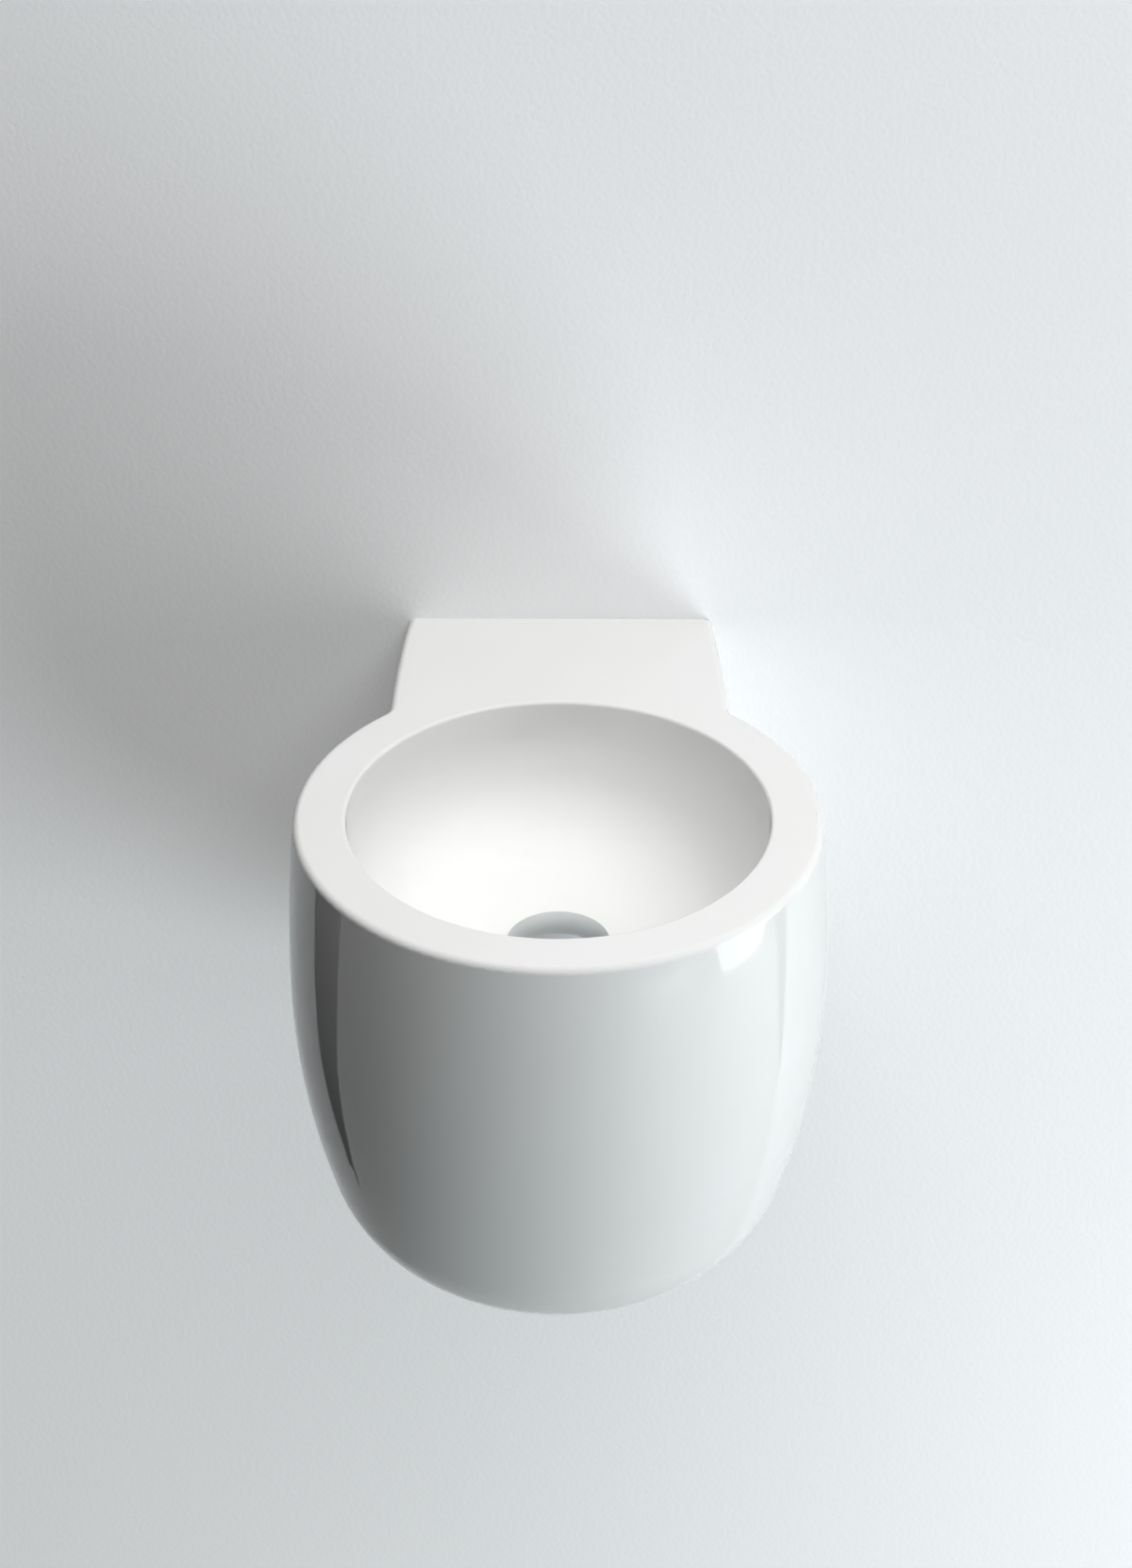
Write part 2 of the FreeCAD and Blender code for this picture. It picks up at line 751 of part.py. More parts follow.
def tail_seal(doc, s):
    """Rubber ring under the bowl, with a nose that centres it in the waste hole."""
    body = on_bowl_axis(doc, s, "tail_seal")
    bore = s.thread_radius + s.thread_clear
    turned(body, "Revolution", "seal", [
        (bore, -s.boss_drop - s.tail_seal_thick),
        (s.tail_seal_radius, -s.boss_drop - s.tail_seal_thick),
        (s.tail_seal_radius, -s.boss_drop), (s.waste_hole, -s.boss_drop),
        (s.tail_seal_nose, s.tail_seal_rise - s.boss_drop),
        (bore, s.tail_seal_rise - s.boss_drop),
    ])
    return body


def slip_washer(doc, s):
    body = on_bowl_axis(doc, s, "slip_washer")
    top = -s.boss_drop - s.tail_seal_thick
    turned(body, "Revolution", "washer", ring(
        s.thread_radius + s.thread_clear, s.slip_washer_radius, top - s.slip_washer_thick, top))
    return body


def lock_nut(doc, s):
    body = on_bowl_axis(doc, s, "lock_nut")
    top = -s.boss_drop - s.tail_seal_thick - s.slip_washer_thick
    low = top - s.lock_nut_height
    hexagon_blank(body, s.lock_nut_across, low, top)
    bore = s.thread_radius + s.thread_clear
    turned(body, "Groove", "bore", [
        (0, low - BREAK), (bore, low - BREAK), (bore, top + BREAK), (0, top + BREAK),
    ])
    return body


# ------------------------------------------------------------------ plug


def plug_cap(doc, s):
    """The dome over the waste, drawn open. Its rim hangs over the seal below it."""
    body = on_bowl_axis(doc, s, "plug_cap")
    side = s.cap_radius
    rise = s.cap_shoulder_drop - s.cap_top_drop
    dome = (square(side) + square(rise)) / (2 * rise)
    turned(body, "Revolution", "dome", [
        (0, -s.stem_thread_top), (s.stem_thread, -s.stem_thread_top),
        (s.stem_thread, -s.cap_under_drop), (side - s.cap_lip, -s.cap_under_drop),
        (side - s.cap_lip, -s.cap_edge_drop), (side, -s.cap_edge_drop),
        (side, -s.cap_shoulder_drop, dome), (0, -s.cap_top_drop),
    ])
    return body


def plug_seal(doc, s):
    body = on_bowl_axis(doc, s, "plug_seal")
    turned(body, "Revolution", "seal", [
        (s.plug_seal_inner, -s.plug_seal_drop), (s.plug_seal_nose, -s.plug_seal_drop),
        (s.plug_seal_radius, -s.plug_seal_waist), (s.plug_seal_radius, -s.cap_under_drop),
        (s.plug_seal_inner, -s.cap_under_drop),
    ])
    return body


def plug_stem(doc, s):
    """The plunger: solid where it screws into the cap, hollow below for the spring."""
    body = on_bowl_axis(doc, s, "plug_stem")
    turned(body, "Revolution", "plunger", [
        (0, -s.stem_ceiling), (s.stem_bore, -s.stem_ceiling), (s.stem_bore, -s.stem_foot),
        (s.stem_radius, -s.stem_foot), (s.stem_radius, -s.cap_under_drop),
        (s.stem_thread, -s.cap_under_drop), (s.stem_thread, -s.stem_thread_top),
        (0, -s.stem_thread_top),
    ])
    return body


def click_cartridge(doc, s):
    body = on_bowl_axis(doc, s, "click_cartridge")
    turned(body, "Revolution", "barrel", [
        (0, -s.stub_drop), (s.stub_radius, -s.stub_drop), (s.stub_radius, -s.bar_drop),
        (s.cartridge_radius, -s.bar_drop), (s.cartridge_radius, -s.cartridge_top),
        (s.cartridge_bore, -s.cartridge_top), (s.cartridge_bore, -s.cartridge_floor),
        (0, -s.cartridge_floor),
    ])
    return body


def plug_spring(doc, s):
    """A spring of square wire between the cartridge's floor and the stem's ceiling."""
    body = on_bowl_axis(doc, s, "plug_spring")
    half = s.spring_wire / 2
    low = -s.cartridge_floor + s.spring_wire
    wire = new_sketch(body, "wire_section", "XZ_Plane")
    outline(wire, [
        (s.spring_radius - half, low - half), (s.spring_radius + half, low - half),
        (s.spring_radius + half, low + half), (s.spring_radius - half, low + half),
    ])
    coil = body.newObject("PartDesign::AdditiveHelix", "coil")
    coil.Profile = wire
    coil.ReferenceAxis = (wire, ["V_Axis"])
    coil.Mode = "pitch-height-angle"
    height = s.cartridge_floor - s.stem_ceiling - 2 * s.spring_wire
    for key, size in (("Pitch", s.spring_pitch), ("Height", height)):
        setattr(coil, key, size.number)
        coil.setExpression(key, size.text)
    return body


# ------------------------------------------------------------------ trap


def inlet_nut(doc, s):
    body = on_bowl_axis(doc, s, "inlet_nut")
    union_nut(body, s, s.thread_radius, -s.inlet_nut_top,
              -s.tail_drop - 2 * s.ring_thick - s.union_lip, True)
    return body


def inlet_seal(doc, s):
    body = on_bowl_axis(doc, s, "inlet_seal")
    turned(body, "Revolution", "seal", ring(
        s.tube_radius, s.ring_radius, -s.tail_drop - s.ring_thick, -s.tail_drop))
    return body


def dip_tube(doc, s):
    """The tube that dips into the trap's water, with the flange that the inlet nut holds."""
    body = on_bowl_axis(doc, s, "dip_tube")
    flange_top = -s.tail_drop - s.ring_thick
    flange_low = flange_top - s.ring_thick
    turned(body, "Revolution", "tube", [
        (s.tube_bore, -s.dip_end), (s.tube_radius, -s.dip_end), (s.tube_radius, flange_low),
        (s.ring_radius, flange_low), (s.ring_radius, flange_top), (s.tube_bore, flange_top),
    ])
    return body


def top_nut(doc, s):
    body = on_bowl_axis(doc, s, "top_nut")
    union_nut(body, s, s.trap_neck_radius, -s.top_nut_top - s.top_nut_height,
              -s.top_nut_top, False)
    return body


def cone_seal(body, s, outer, seat, step):
    """A ring round the tube that narrows away from its seat; step is its length along Z."""
    turned(body, "Revolution", "seal", [
        (s.tube_radius, seat), (outer, seat), (outer, seat + step * CONE_SHOULDER),
        (s.tube_radius + 2 * s.tube_clear, seat + step), (s.tube_radius, seat + step),
    ])


def top_seal(doc, s):
    body = on_bowl_axis(doc, s, "top_seal")
    cone_seal(body, s, s.trap_neck_radius - s.thread_clear, -s.trap_neck_top, s.cone_seal_thick)
    return body


def trap_body(doc, s):
    """The bottle of the trap: a neck for the dip tube, a threaded foot for the cup and a
    spigot towards the wall."""
    body = on_bowl_axis(doc, s, "trap_body")
    turned(body, "Revolution", "bottle", [
        (0, -s.trap_end), (s.trap_thread_radius, -s.trap_end),
        (s.trap_thread_radius, -s.trap_thread_top), (s.trap_radius, -s.trap_thread_top),
        (s.trap_radius, -s.trap_shoulder), (s.trap_neck_radius, -s.trap_neck_end),
        (s.trap_neck_radius, -s.trap_neck_top), (0, -s.trap_neck_top),
    ])
    plan = new_sketch(body, "spigot_plan", "XZ_Plane")
    circle(plan, s.thread_radius, 0, -s.outlet_drop)
    feature(body, "Pad", "spigot", plan, Length=s.spigot_reach, Reversed=True)
    inside = s.trap_radius - s.trap_wall
    turned(body, "Groove", "inside", [
        (0, -s.trap_end - BREAK), (s.trap_thread_bore, -s.trap_end - BREAK),
        (s.trap_thread_bore, -s.trap_thread_top), (inside, -s.trap_thread_top + s.trap_wall),
        (inside, -s.trap_shoulder), (s.trap_neck_bore, -s.trap_neck_end - s.trap_wall),
        (s.trap_neck_bore, -s.trap_neck_top + BREAK), (0, -s.trap_neck_top + BREAK),
    ])
    bore = new_sketch(body, "spigot_bore_plan", "XZ_Plane")
    circle(bore, s.spigot_bore, 0, -s.outlet_drop)
    feature(body, "Pocket", "spigot_bore_cut", bore, Length=s.spigot_reach + BREAK)
    return body


def trap_cup(doc, s):
    """The cup that unscrews for cleaning, with grip ribs round its rim."""
    body = on_bowl_axis(doc, s, "trap_cup")
    top = -s.trap_thread_top - s.cup_clear
    ledge = -s.trap_end - s.cup_clear - s.cup_seal_thick
    thread = s.trap_thread_radius + s.thread_clear
    inside = s.cup_radius - s.cup_wall
    corner = s.cup_corner
    floor = -s.cup_end + s.cup_wall
    turned(body, "Revolution", "cup", [
        (0, -s.cup_end), (s.cup_radius - corner, -s.cup_end),
        (s.cup_radius - corner * CUP_TURN, -s.cup_end + corner * CUP_TURN),
        (s.cup_radius, -s.cup_end + corner), (s.cup_radius, top), (thread, top),
        (thread, ledge), (s.cup_ledge, ledge), (s.cup_ledge, ledge - s.cup_wall),
        (inside, ledge - s.cup_wall - (inside - s.cup_ledge)),
        (inside, -s.cup_end + corner), (s.cup_radius - corner, floor), (0, floor),
    ])
    plan = new_sketch(body, "rib_plan", "XY_Plane", (0, 0, -s.cup_rib_end))
    half = s.cup_rib_width / 2
    root_of_rib = s.cup_radius - s.cup_rib
    outline(plan, [
        (root_of_rib, -half), (s.cup_radius + s.cup_rib, -half / 2),
        (s.cup_radius + s.cup_rib, half / 2), (root_of_rib, half),
    ])
    rib = feature(body, "Pad", "rib", plan, Length=s.cup_rib_end - s.trap_thread_top - s.cup_clear)
    axis = next(item for item in body.Origin.OriginFeatures if item.Role == "Z_Axis")
    repeated(body, "PolarPattern", "ribs", rib, Axis=(axis, [""]), Angle=360.0,
             Occurrences=RIB_COUNT)
    return body


def cup_seal(doc, s):
    body = on_bowl_axis(doc, s, "cup_seal")
    top = -s.trap_end - s.cup_clear
    turned(body, "Revolution", "seal", ring(
        s.cup_ledge, s.trap_thread_radius, top - s.cup_seal_thick, top))
    return body


# ------------------------------------------------------------------ outlet


def outlet_nut(doc, s):
    body = on_outlet_axis(doc, s, "outlet_nut")
    union_nut(body, s, s.thread_radius, s.outlet_nut_start, s.outlet_nut_end, False)
    return body


def outlet_seal(doc, s):
    body = on_outlet_axis(doc, s, "outlet_seal")
    cone_seal(body, s, s.thread_radius - s.thread_clear, s.spigot_reach, s.cone_seal_thick)
    return body


def outlet_pipe(doc, s):
    """The pipe into the wall, with a shallow stop groove where it passes the wall's face."""
    body = on_outlet_axis(doc, s, "outlet_pipe")
    wall = s.bowl_reach
    turned(body, "Revolution", "pipe", [
        (s.tube_bore, s.pipe_start), (s.tube_radius, s.pipe_start),
        (s.tube_radius, wall - s.pipe_groove_wide), (s.pipe_groove, wall - s.pipe_groove_wide),
        (s.pipe_groove, wall), (s.tube_radius, wall),
        (s.tube_radius, wall + s.pipe_past_wall), (s.tube_bore, wall + s.pipe_past_wall),
    ])
    return body


def wall_rosette(doc, s):
    """A pressed cover plate that slides on the pipe against the wall."""
    body = on_outlet_axis(doc, s, "wall_rosette")
    wall, bore, thick = s.bowl_reach, s.tube_radius + s.tube_clear, s.rosette_thick
    crown = s.rosette_crown
    turned(body, "Revolution", "plate", [
        (bore, wall - s.rosette_rise), (crown, wall - s.rosette_rise),
        (s.rosette_radius, wall - s.rosette_rise / 3), (s.rosette_radius, wall),
        (s.rosette_radius - thick, wall),
        (s.rosette_radius - thick, wall - s.rosette_rise / 3 + thick / 2),
        (crown, wall - s.rosette_rise + thick), (bore, wall - s.rosette_rise + thick),
    ])
    return body


SUB_PARTS = (
    basin_body, hanger_bolts, bolt_sleeves, bolt_washers, bolt_nuts,
    waste_body, flange_seal, tail_seal, slip_washer, lock_nut,
    plug_cap, plug_seal, plug_stem, click_cartridge, plug_spring,
    inlet_nut, inlet_seal, dip_tube, top_nut, top_seal, trap_body, trap_cup, cup_seal,
    outlet_nut, outlet_seal, outlet_pipe, wall_rosette,
)


def check(doc, bodies):
    """Stops where a feature failed or a piece isn't a valid closed solid."""
    for item in doc.Objects:
        if "Invalid" in item.State or "Error" in item.State:
            sys.exit(f"{item.Label} failed: {item.State}")
    for body in bodies:
        shape = body.Shape
        if shape.isNull() or not shape.isValid() or not shape.Solids:
            sys.exit(f"{body.Label} has no valid solid")


def main():
    doc = FreeCAD.newDocument("HandBasin")
    s = Sizes(doc)
    bodies = [make(doc, s) for make in SUB_PARTS]
    doc.recompute()
    check(doc, bodies)
    os.makedirs("parts", exist_ok=True)
    for body in bodies:
        body.Shape.exportStep(f"parts/{body.Label}.step")
        print(f"{body.Label}: {body.Shape.Volume / 1000:.2f} cm3, "
              f"{len(body.Shape.Solids)} solid(s), {len(body.Shape.Faces)} faces")


main()
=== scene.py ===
import math
from collections import namedtuple

import bmesh
import bpy
from mathutils import Matrix, Vector


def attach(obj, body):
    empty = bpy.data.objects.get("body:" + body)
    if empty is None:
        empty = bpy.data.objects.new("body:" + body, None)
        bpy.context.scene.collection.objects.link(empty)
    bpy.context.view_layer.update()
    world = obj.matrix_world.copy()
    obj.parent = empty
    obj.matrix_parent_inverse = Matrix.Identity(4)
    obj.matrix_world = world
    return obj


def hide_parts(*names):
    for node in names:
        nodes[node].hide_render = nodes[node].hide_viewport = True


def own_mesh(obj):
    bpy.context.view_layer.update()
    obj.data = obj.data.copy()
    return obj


# Looks of a wall hung hand basin, in metres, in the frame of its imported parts: +Z up, the wall's
# face at Y = 0 and the origin midway between the two wall studs.

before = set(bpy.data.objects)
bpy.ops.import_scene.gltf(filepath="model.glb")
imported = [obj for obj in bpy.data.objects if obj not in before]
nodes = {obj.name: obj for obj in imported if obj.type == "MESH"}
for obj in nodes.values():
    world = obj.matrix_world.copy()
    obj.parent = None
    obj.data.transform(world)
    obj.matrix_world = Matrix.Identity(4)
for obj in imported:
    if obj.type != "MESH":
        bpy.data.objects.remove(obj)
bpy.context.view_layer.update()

MM = 0.001
UP = Vector((0, 0, 1))
DECK = 70 * MM                 # the deck's height
BOWL_AXIS = Vector((0, -256 * MM, 0))
WELD = 0.0001 * MM             # points closer than this are one point
TOUCH = 0.05 * MM              # places closer than this lie on one face
CREASE = math.radians(32)      # a sharper edge than this stays an edge in the shading


def drop(millimetres):
    """The height of a place that is so far below the deck."""
    return DECK - millimetres * MM


# ------------------------------------------------------------------ materials


def linear(hex_colour):
    """The linear colour of an sRGB hex value."""
    parts = [int(hex_colour[i:i + 2], 16) / 255 for i in (1, 3, 5)]
    return (*[p / 12.92 if p <= 0.04045 else ((p + 0.055) / 1.055) ** 2.4 for p in parts], 1.0)


def add(tree, kind, sockets=(), **properties):
    """Adds a node: sockets takes a value or another node's output for each named or numbered
    socket, and properties are the node's own settings."""
    made = tree.nodes.new(kind)
    for name, setting in properties.items():
        setattr(made, name, setting)
    for name, value in dict(sockets).items():
        if isinstance(value, bpy.types.NodeSocket):
            tree.links.new(value, made.inputs[name])
        else:
            made.inputs[name].default_value = value
    return made


def new_material(name):
    material = bpy.data.materials.new(name)
    material.use_nodes = True
    tree = material.node_tree
    surface = tree.nodes["Principled BSDF"]
    place = add(tree, "ShaderNodeTexCoord").outputs["Object"]
    return material, tree, surface, place


def per_metre(millimetres):
    """The scale of a noise whose features are this far apart."""
    return 1000 / millimetres


def bands_per_metre(millimetres):
    """The scale of a wave pattern whose bands are this far apart."""
    return math.tau / 20 * per_metre(millimetres)


def noise(tree, place, millimetres, detail=1.0):
    return add(tree, "ShaderNodeTexNoise", {
        "Vector": place, "Scale": per_metre(millimetres), "Detail": detail,
    }).outputs["Fac"]


NOISE_LOW, NOISE_HIGH = 0.3, 0.7       # most of a noise pattern lies between these


def mottle(tree, factor, *colours):
    """Hex colours that blend into one another over a pattern's middle range."""
    made = add(tree, "ShaderNodeValToRGB", {"Fac": factor})
    band = made.color_ramp.elements
    band[0].position, band[0].color = NOISE_LOW, linear(colours[0])
    band[1].position, band[1].color = NOISE_HIGH, linear(colours[-1])
    step = (NOISE_HIGH - NOISE_LOW) / (len(colours) - 1)
    for count, colour in enumerate(colours[1:-1], 1):
        band.new(NOISE_LOW + count * step).color = linear(colour)
    return made.outputs["Color"]


def spread(tree, factor, low, high):
    """A pattern's middle range, stretched from low to high."""
    return add(tree, "ShaderNodeMapRange", {
        "Value": factor, "From Min": NOISE_LOW, "From Max": NOISE_HIGH,
        "To Min": low, "To Max": high,
    }).outputs["Result"]


def emboss(tree, surface, *layers):
    """Raises the surface by patterns, each given as (factor, height in millimetres)."""
    normal = None
    for factor, height in layers:
        made = add(tree, "ShaderNodeBump", {"Height": factor, "Distance": height * MM})
        if normal:
            tree.links.new(normal, made.inputs["Normal"])
        normal = made.outputs["Normal"]
    tree.links.new(normal, surface.inputs["Normal"])


def glazed_china():
    """Vitreous china, slip cast and fired under an opaque white glaze: a deep even gloss, with
    the slow waviness that a cast wall keeps and a trace of orange peel in the glaze."""
    material, tree, surface, place = new_material("glazed_vitreous_china")
    tree.links.new(mottle(tree, noise(tree, place, 120), "#F3F3F1", "#F5F5F4"),
                   surface.inputs["Base Color"])
    surface.inputs["Roughness"].default_value = 0.05
    surface.inputs["IOR"].default_value = 1.52
    emboss(tree, surface, (noise(tree, place, 60, 0), 0.16), (noise(tree, place, 2.5), 0.003))
    return material


def bare_china():
    """The same china where no glaze lies, fired bare: matt and chalky, a little warmer than the
    glaze, with a fine grit and the faint cloudiness of the plaster mould."""
    material, tree, surface, place = new_material("bare_vitreous_china")
    tree.links.new(mottle(tree, noise(tree, place, 35, 3), "#DDD6CA", "#E4DED3", "#E8E3DA"),
                   surface.inputs["Base Color"])
    surface.inputs["Roughness"].default_value = 0.9
    emboss(tree, surface, (noise(tree, place, 14, 2), 0.12), (noise(tree, place, 0.7, 2), 0.03))
    return material


def polished_chrome():
    """Brass, buffed and plated with nickel and chrome: a clear mirror with a cool cast, and the
    faint haze that buffing leaves."""
    material, tree, surface, place = new_material("polished_chrome_plate")
    tree.links.new(mottle(tree, noise(tree, place, 40, 1), "#C6C9CC", "#CCCFD1"),
                   surface.inputs["Base Color"])
    surface.inputs["Metallic"].default_value = 1.0
    tree.links.new(spread(tree, noise(tree, place, 9, 2), 0.05, 0.1),
                   surface.inputs["Roughness"])
    return material


def turned_brass():
    """Free-cutting brass, left as it comes off the lathe: fine rings and a warm satin shine.
    Its rings are 0.1 mm apart; they are drawn at 0.5 mm so that they show."""
    material, tree, surface, place = new_material("turned_brass")
    tree.links.new(mottle(tree, noise(tree, place, 4, 2), "#BD9850", "#CBA763"),
                   surface.inputs["Base Color"])
    surface.inputs["Metallic"].default_value = 1.0
    surface.inputs["Roughness"].default_value = 0.28
    rings = add(tree, "ShaderNodeTexWave", {
        "Vector": place, "Scale": bands_per_metre(0.5), "Distortion": 0.4,
    }, bands_direction="Z")
    emboss(tree, surface, (rings.outputs["Fac"], 0.012))
    return material


def zinc_plate():
    """Mild steel with bright zinc plating: a bluish grey with a dull, slightly mottled shine."""
    material, tree, surface, place = new_material("zinc_plated_steel")
    tree.links.new(mottle(tree, noise(tree, place, 3, 2), "#A9AFB5", "#C2C6C9"),
                   surface.inputs["Base Color"])
    surface.inputs["Metallic"].default_value = 1.0
    tree.links.new(spread(tree, noise(tree, place, 2, 2), 0.26, 0.4),
                   surface.inputs["Roughness"])
    emboss(tree, surface, (noise(tree, place, 0.8), 0.01))
    return material


def moulded_rubber():
    """EPDM rubber from a mould: near black, matt, with a very fine grain and a faint bloom."""
    material, tree, surface, place = new_material("moulded_epdm_rubber")
    tree.links.new(mottle(tree, noise(tree, place, 6, 2), "#191919", "#242425"),
                   surface.inputs["Base Color"])
    surface.inputs["Roughness"].default_value = 0.72
    emboss(tree, surface, (noise(tree, place, 0.6), 0.02))
    return material


def moulded_nylon():
    """Natural nylon from a mould: milky, slightly waxy, with soft flow marks."""
    material, tree, surface, place = new_material("moulded_nylon")
    tree.links.new(mottle(tree, noise(tree, place, 8, 1), "#E2DDCB", "#EAE6D8"),
                   surface.inputs["Base Color"])
    surface.inputs["Roughness"].default_value = 0.45
    surface.inputs["Subsurface Weight"].default_value = 0.2
    surface.inputs["Subsurface Radius"].default_value = (1.5 * MM, 1.2 * MM, 0.9 * MM)
    emboss(tree, surface, (noise(tree, place, 1.2), 0.01))
    return material


def spring_steel():
    """Stainless spring wire, drawn and coiled: grey, with a dull shine and fine die marks."""
    material, tree, surface, place = new_material("stainless_spring_wire")
    tree.links.new(mottle(tree, noise(tree, place, 1, 1), "#929394", "#A4A5A6"),
                   surface.inputs["Base Color"])
    surface.inputs["Metallic"].default_value = 1.0
    surface.inputs["Roughness"].default_value = 0.28
    emboss(tree, surface, (noise(tree, place, 0.3), 0.004))
    return material


GLAZE = glazed_china()
BISQUE = bare_china()
CHROME = polished_chrome()
BRASS = turned_brass()
ZINC = zinc_plate()
RUBBER = moulded_rubber()
NYLON = moulded_nylon()
WIRE = spring_steel()

FINISHES = {
    GLAZE: ["basin_body"],
    CHROME: [
        "waste_body", "lock_nut", "plug_cap", "inlet_nut", "dip_tube", "top_nut", "trap_body",
        "trap_cup", "outlet_nut", "outlet_pipe", "wall_rosette",
    ],
    BRASS: ["click_cartridge", "plug_stem"],
    ZINC: ["hanger_bolts", "bolt_washers", "bolt_nuts"],
    RUBBER: [
        "flange_seal", "tail_seal", "plug_seal", "inlet_seal", "top_seal", "cup_seal",
        "outlet_seal",
    ],
    NYLON: ["bolt_sleeves", "slip_washer"],
    WIRE: ["plug_spring"],
}
for finish, names in FINISHES.items():
    for name in names:
        nodes[name].data.materials.clear()
        nodes[name].data.materials.append(finish)


# ------------------------------------------------------------------ shaping


def copy_of(node):
    """A CAD node's mesh again, with its loose triangles merged."""
    bm = bmesh.new()
    bm.from_mesh(nodes[node].data)
    bmesh.ops.remove_doubles(bm, verts=bm.verts, dist=WELD)
    return bm


def from_axis(place):
    """How far a place is from the bowl's upright axis."""
    return math.hypot(place.x - BOWL_AXIS.x, place.y - BOWL_AXIS.y)


def lathe(corners, steps=64):
    """A ring about the Z axis, from a closed outline of (radius, height) corners."""
    bm = bmesh.new()
    verts = [bm.verts.new((radius, 0, height)) for radius, height in corners]
    edges = [bm.edges.new(pair) for pair in zip(verts, verts[1:] + verts[:1])]
    bmesh.ops.spin(bm, geom=verts + edges, cent=(0, 0, 0), axis=UP, angle=math.tau,
                   steps=steps, use_merge=True)
    bmesh.ops.remove_doubles(bm, verts=bm.verts, dist=WELD)
    bmesh.ops.recalc_face_normals(bm, faces=bm.faces)
    return bm


THREAD_STEPS = 48              # faces in one turn of a thread
SEAM = 0.001 * MM              # one turn joins the next within this

# A thread's crest radius, depth and pitch, and the heights of one flank and of the crest's flat.
ThreadForm = namedtuple("ThreadForm", "crest depth pitch flank land")

PIPE_THREAD = ThreadForm(20.95 * MM, 1.48 * MM, 2.309 * MM, 0.77 * MM, 0.385 * MM)
CUP_THREAD = ThreadForm(28.5 * MM, 1.3 * MM, 4.0 * MM, 0.9 * MM, 1.1 * MM)
METAL_THREAD = ThreadForm(4.95 * MM, 0.9 * MM, 1.5 * MM, 0.53 * MM, 0.19 * MM)
WOOD_THREAD = ThreadForm(5 * MM, 1.5 * MM, 4 * MM, 0.75 * MM, 0.25 * MM)


def thread(form, low, high):
    """A screw thread as a sleeve about the Z axis, cut off square at low and high. One turn is
    swept and then repeated."""
    crest, depth, pitch, flank, land = form
    root = crest - depth
    profile = [(root, 0), (crest, flank), (crest, flank + land), (root, 2 * flank + land),
               (root, pitch)]
    turns = math.ceil((high - low) / pitch) + 2
    bm = bmesh.new()
    verts = [bm.verts.new((radius, 0, low - pitch + rise)) for radius, rise in profile]
    edges = [bm.edges.new(pair) for pair in zip(verts, verts[1:])]
    bmesh.ops.spin(bm, geom=verts + edges, cent=(0, 0, 0), axis=UP, angle=math.tau,
                   dvec=UP * pitch / THREAD_STEPS, steps=THREAD_STEPS)
    one_turn = bm.verts[:] + bm.edges[:] + bm.faces[:]
    for turn in range(1, turns):
        again = bmesh.ops.duplicate(bm, geom=one_turn)["geom"]
        bmesh.ops.translate(bm, vec=UP * pitch * turn,
                            verts=[item for item in again if isinstance(item, bmesh.types.BMVert)])
    bmesh.ops.remove_doubles(bm, verts=bm.verts, dist=SEAM)
    for height, outward in ((low, -UP), (high, UP)):
        bmesh.ops.bisect_plane(bm, geom=bm.verts[:] + bm.edges[:] + bm.faces[:],
                               plane_co=(0, 0, height), plane_no=outward, clear_outer=True)
    bmesh.ops.recalc_face_normals(bm, faces=bm.faces)
    return bm


def turn_down(bm, limit):
    """Turns a piece down, as on a lathe, to the radius that limit() gives for each height."""
    for vert in bm.verts:
        radius, allowed = math.hypot(vert.co.x, vert.co.y), limit(vert.co.z)
        if radius > allowed:
            vert.co.x *= allowed / radius
            vert.co.y *= allowed / radius


def close_ends(bm):
    bmesh.ops.holes_fill(bm, edges=[edge for edge in bm.edges if edge.is_boundary])


def joined(parts):
    """Several bmeshes as one."""
    whole = bmesh.new()
    for part in parts:
        carrier = bpy.data.meshes.new("carrier")
        part.to_mesh(carrier)
        part.free()
        whole.from_mesh(carrier)
        bpy.data.meshes.remove(carrier)
    return whole


def finished(bm, name, finishes, slot, body, *replaced):
    """Hands a bmesh over as a piece that is smooth between its creases, rides on a body and
    stands for the CAD nodes named last."""
    for face in bm.faces:
        face.smooth = True
    mesh = bpy.data.meshes.new(name)
    bm.to_mesh(mesh)
    bm.free()
    for finish in finishes:
        mesh.materials.append(finish)
    mesh.set_sharp_from_angle(angle=CREASE)
    piece = bpy.data.objects.new(name, mesh)
    bpy.context.scene.collection.objects.link(piece)
    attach(piece, body)
    if replaced:
        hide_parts(*replaced)
    even = piece.modifiers.new("even_shading", "WEIGHTED_NORMAL")
    even.mode = "FACE_AREA_WITH_ANGLE"
    even.keep_sharp = True
    return piece


# ------------------------------------------------------------------ casting

FOOT = drop(341)
SEAT = drop(121)               # where the waste's flange sits
WASTE_HOLE = 23 * MM           # its radius
UNDER_BOSS = Vector((30 * MM, BOWL_AXIS.y, drop(136)))     # a place in the hollow
RIM_ROUND, RIM_CRISP = 9.0 * MM, 5.5 * MM      # outer edge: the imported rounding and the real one
LIP_ROUND, LIP_CRISP = 6.0 * MM, 2.5 * MM      # the same for the bowl's edge
LIP_REACH = 150 * MM           # the bowl's edge lies within this, and the rim beyond it
EGG_LEAN = 0.102               # how far the egg's side leans in where it meets the rounding
LEAN_FROM = 0.75               # the lean fades in from here to 1, as out turns away from the axis
STEEP = 0.12                   # a face whose normal rises less than this belongs to a side


def lean(place, out):
    """How far the side below a rounding leans in: not at all under the neck's edges and the
    bowl's, where out isn't the way away from the bowl's axis."""
    away = Vector((place.x, place.y - BOWL_AXIS.y, 0)).normalized()
    return EGG_LEAN * min(max((away.dot(out) - LEAN_FROM) / (1 - LEAN_FROM), 0), 1)


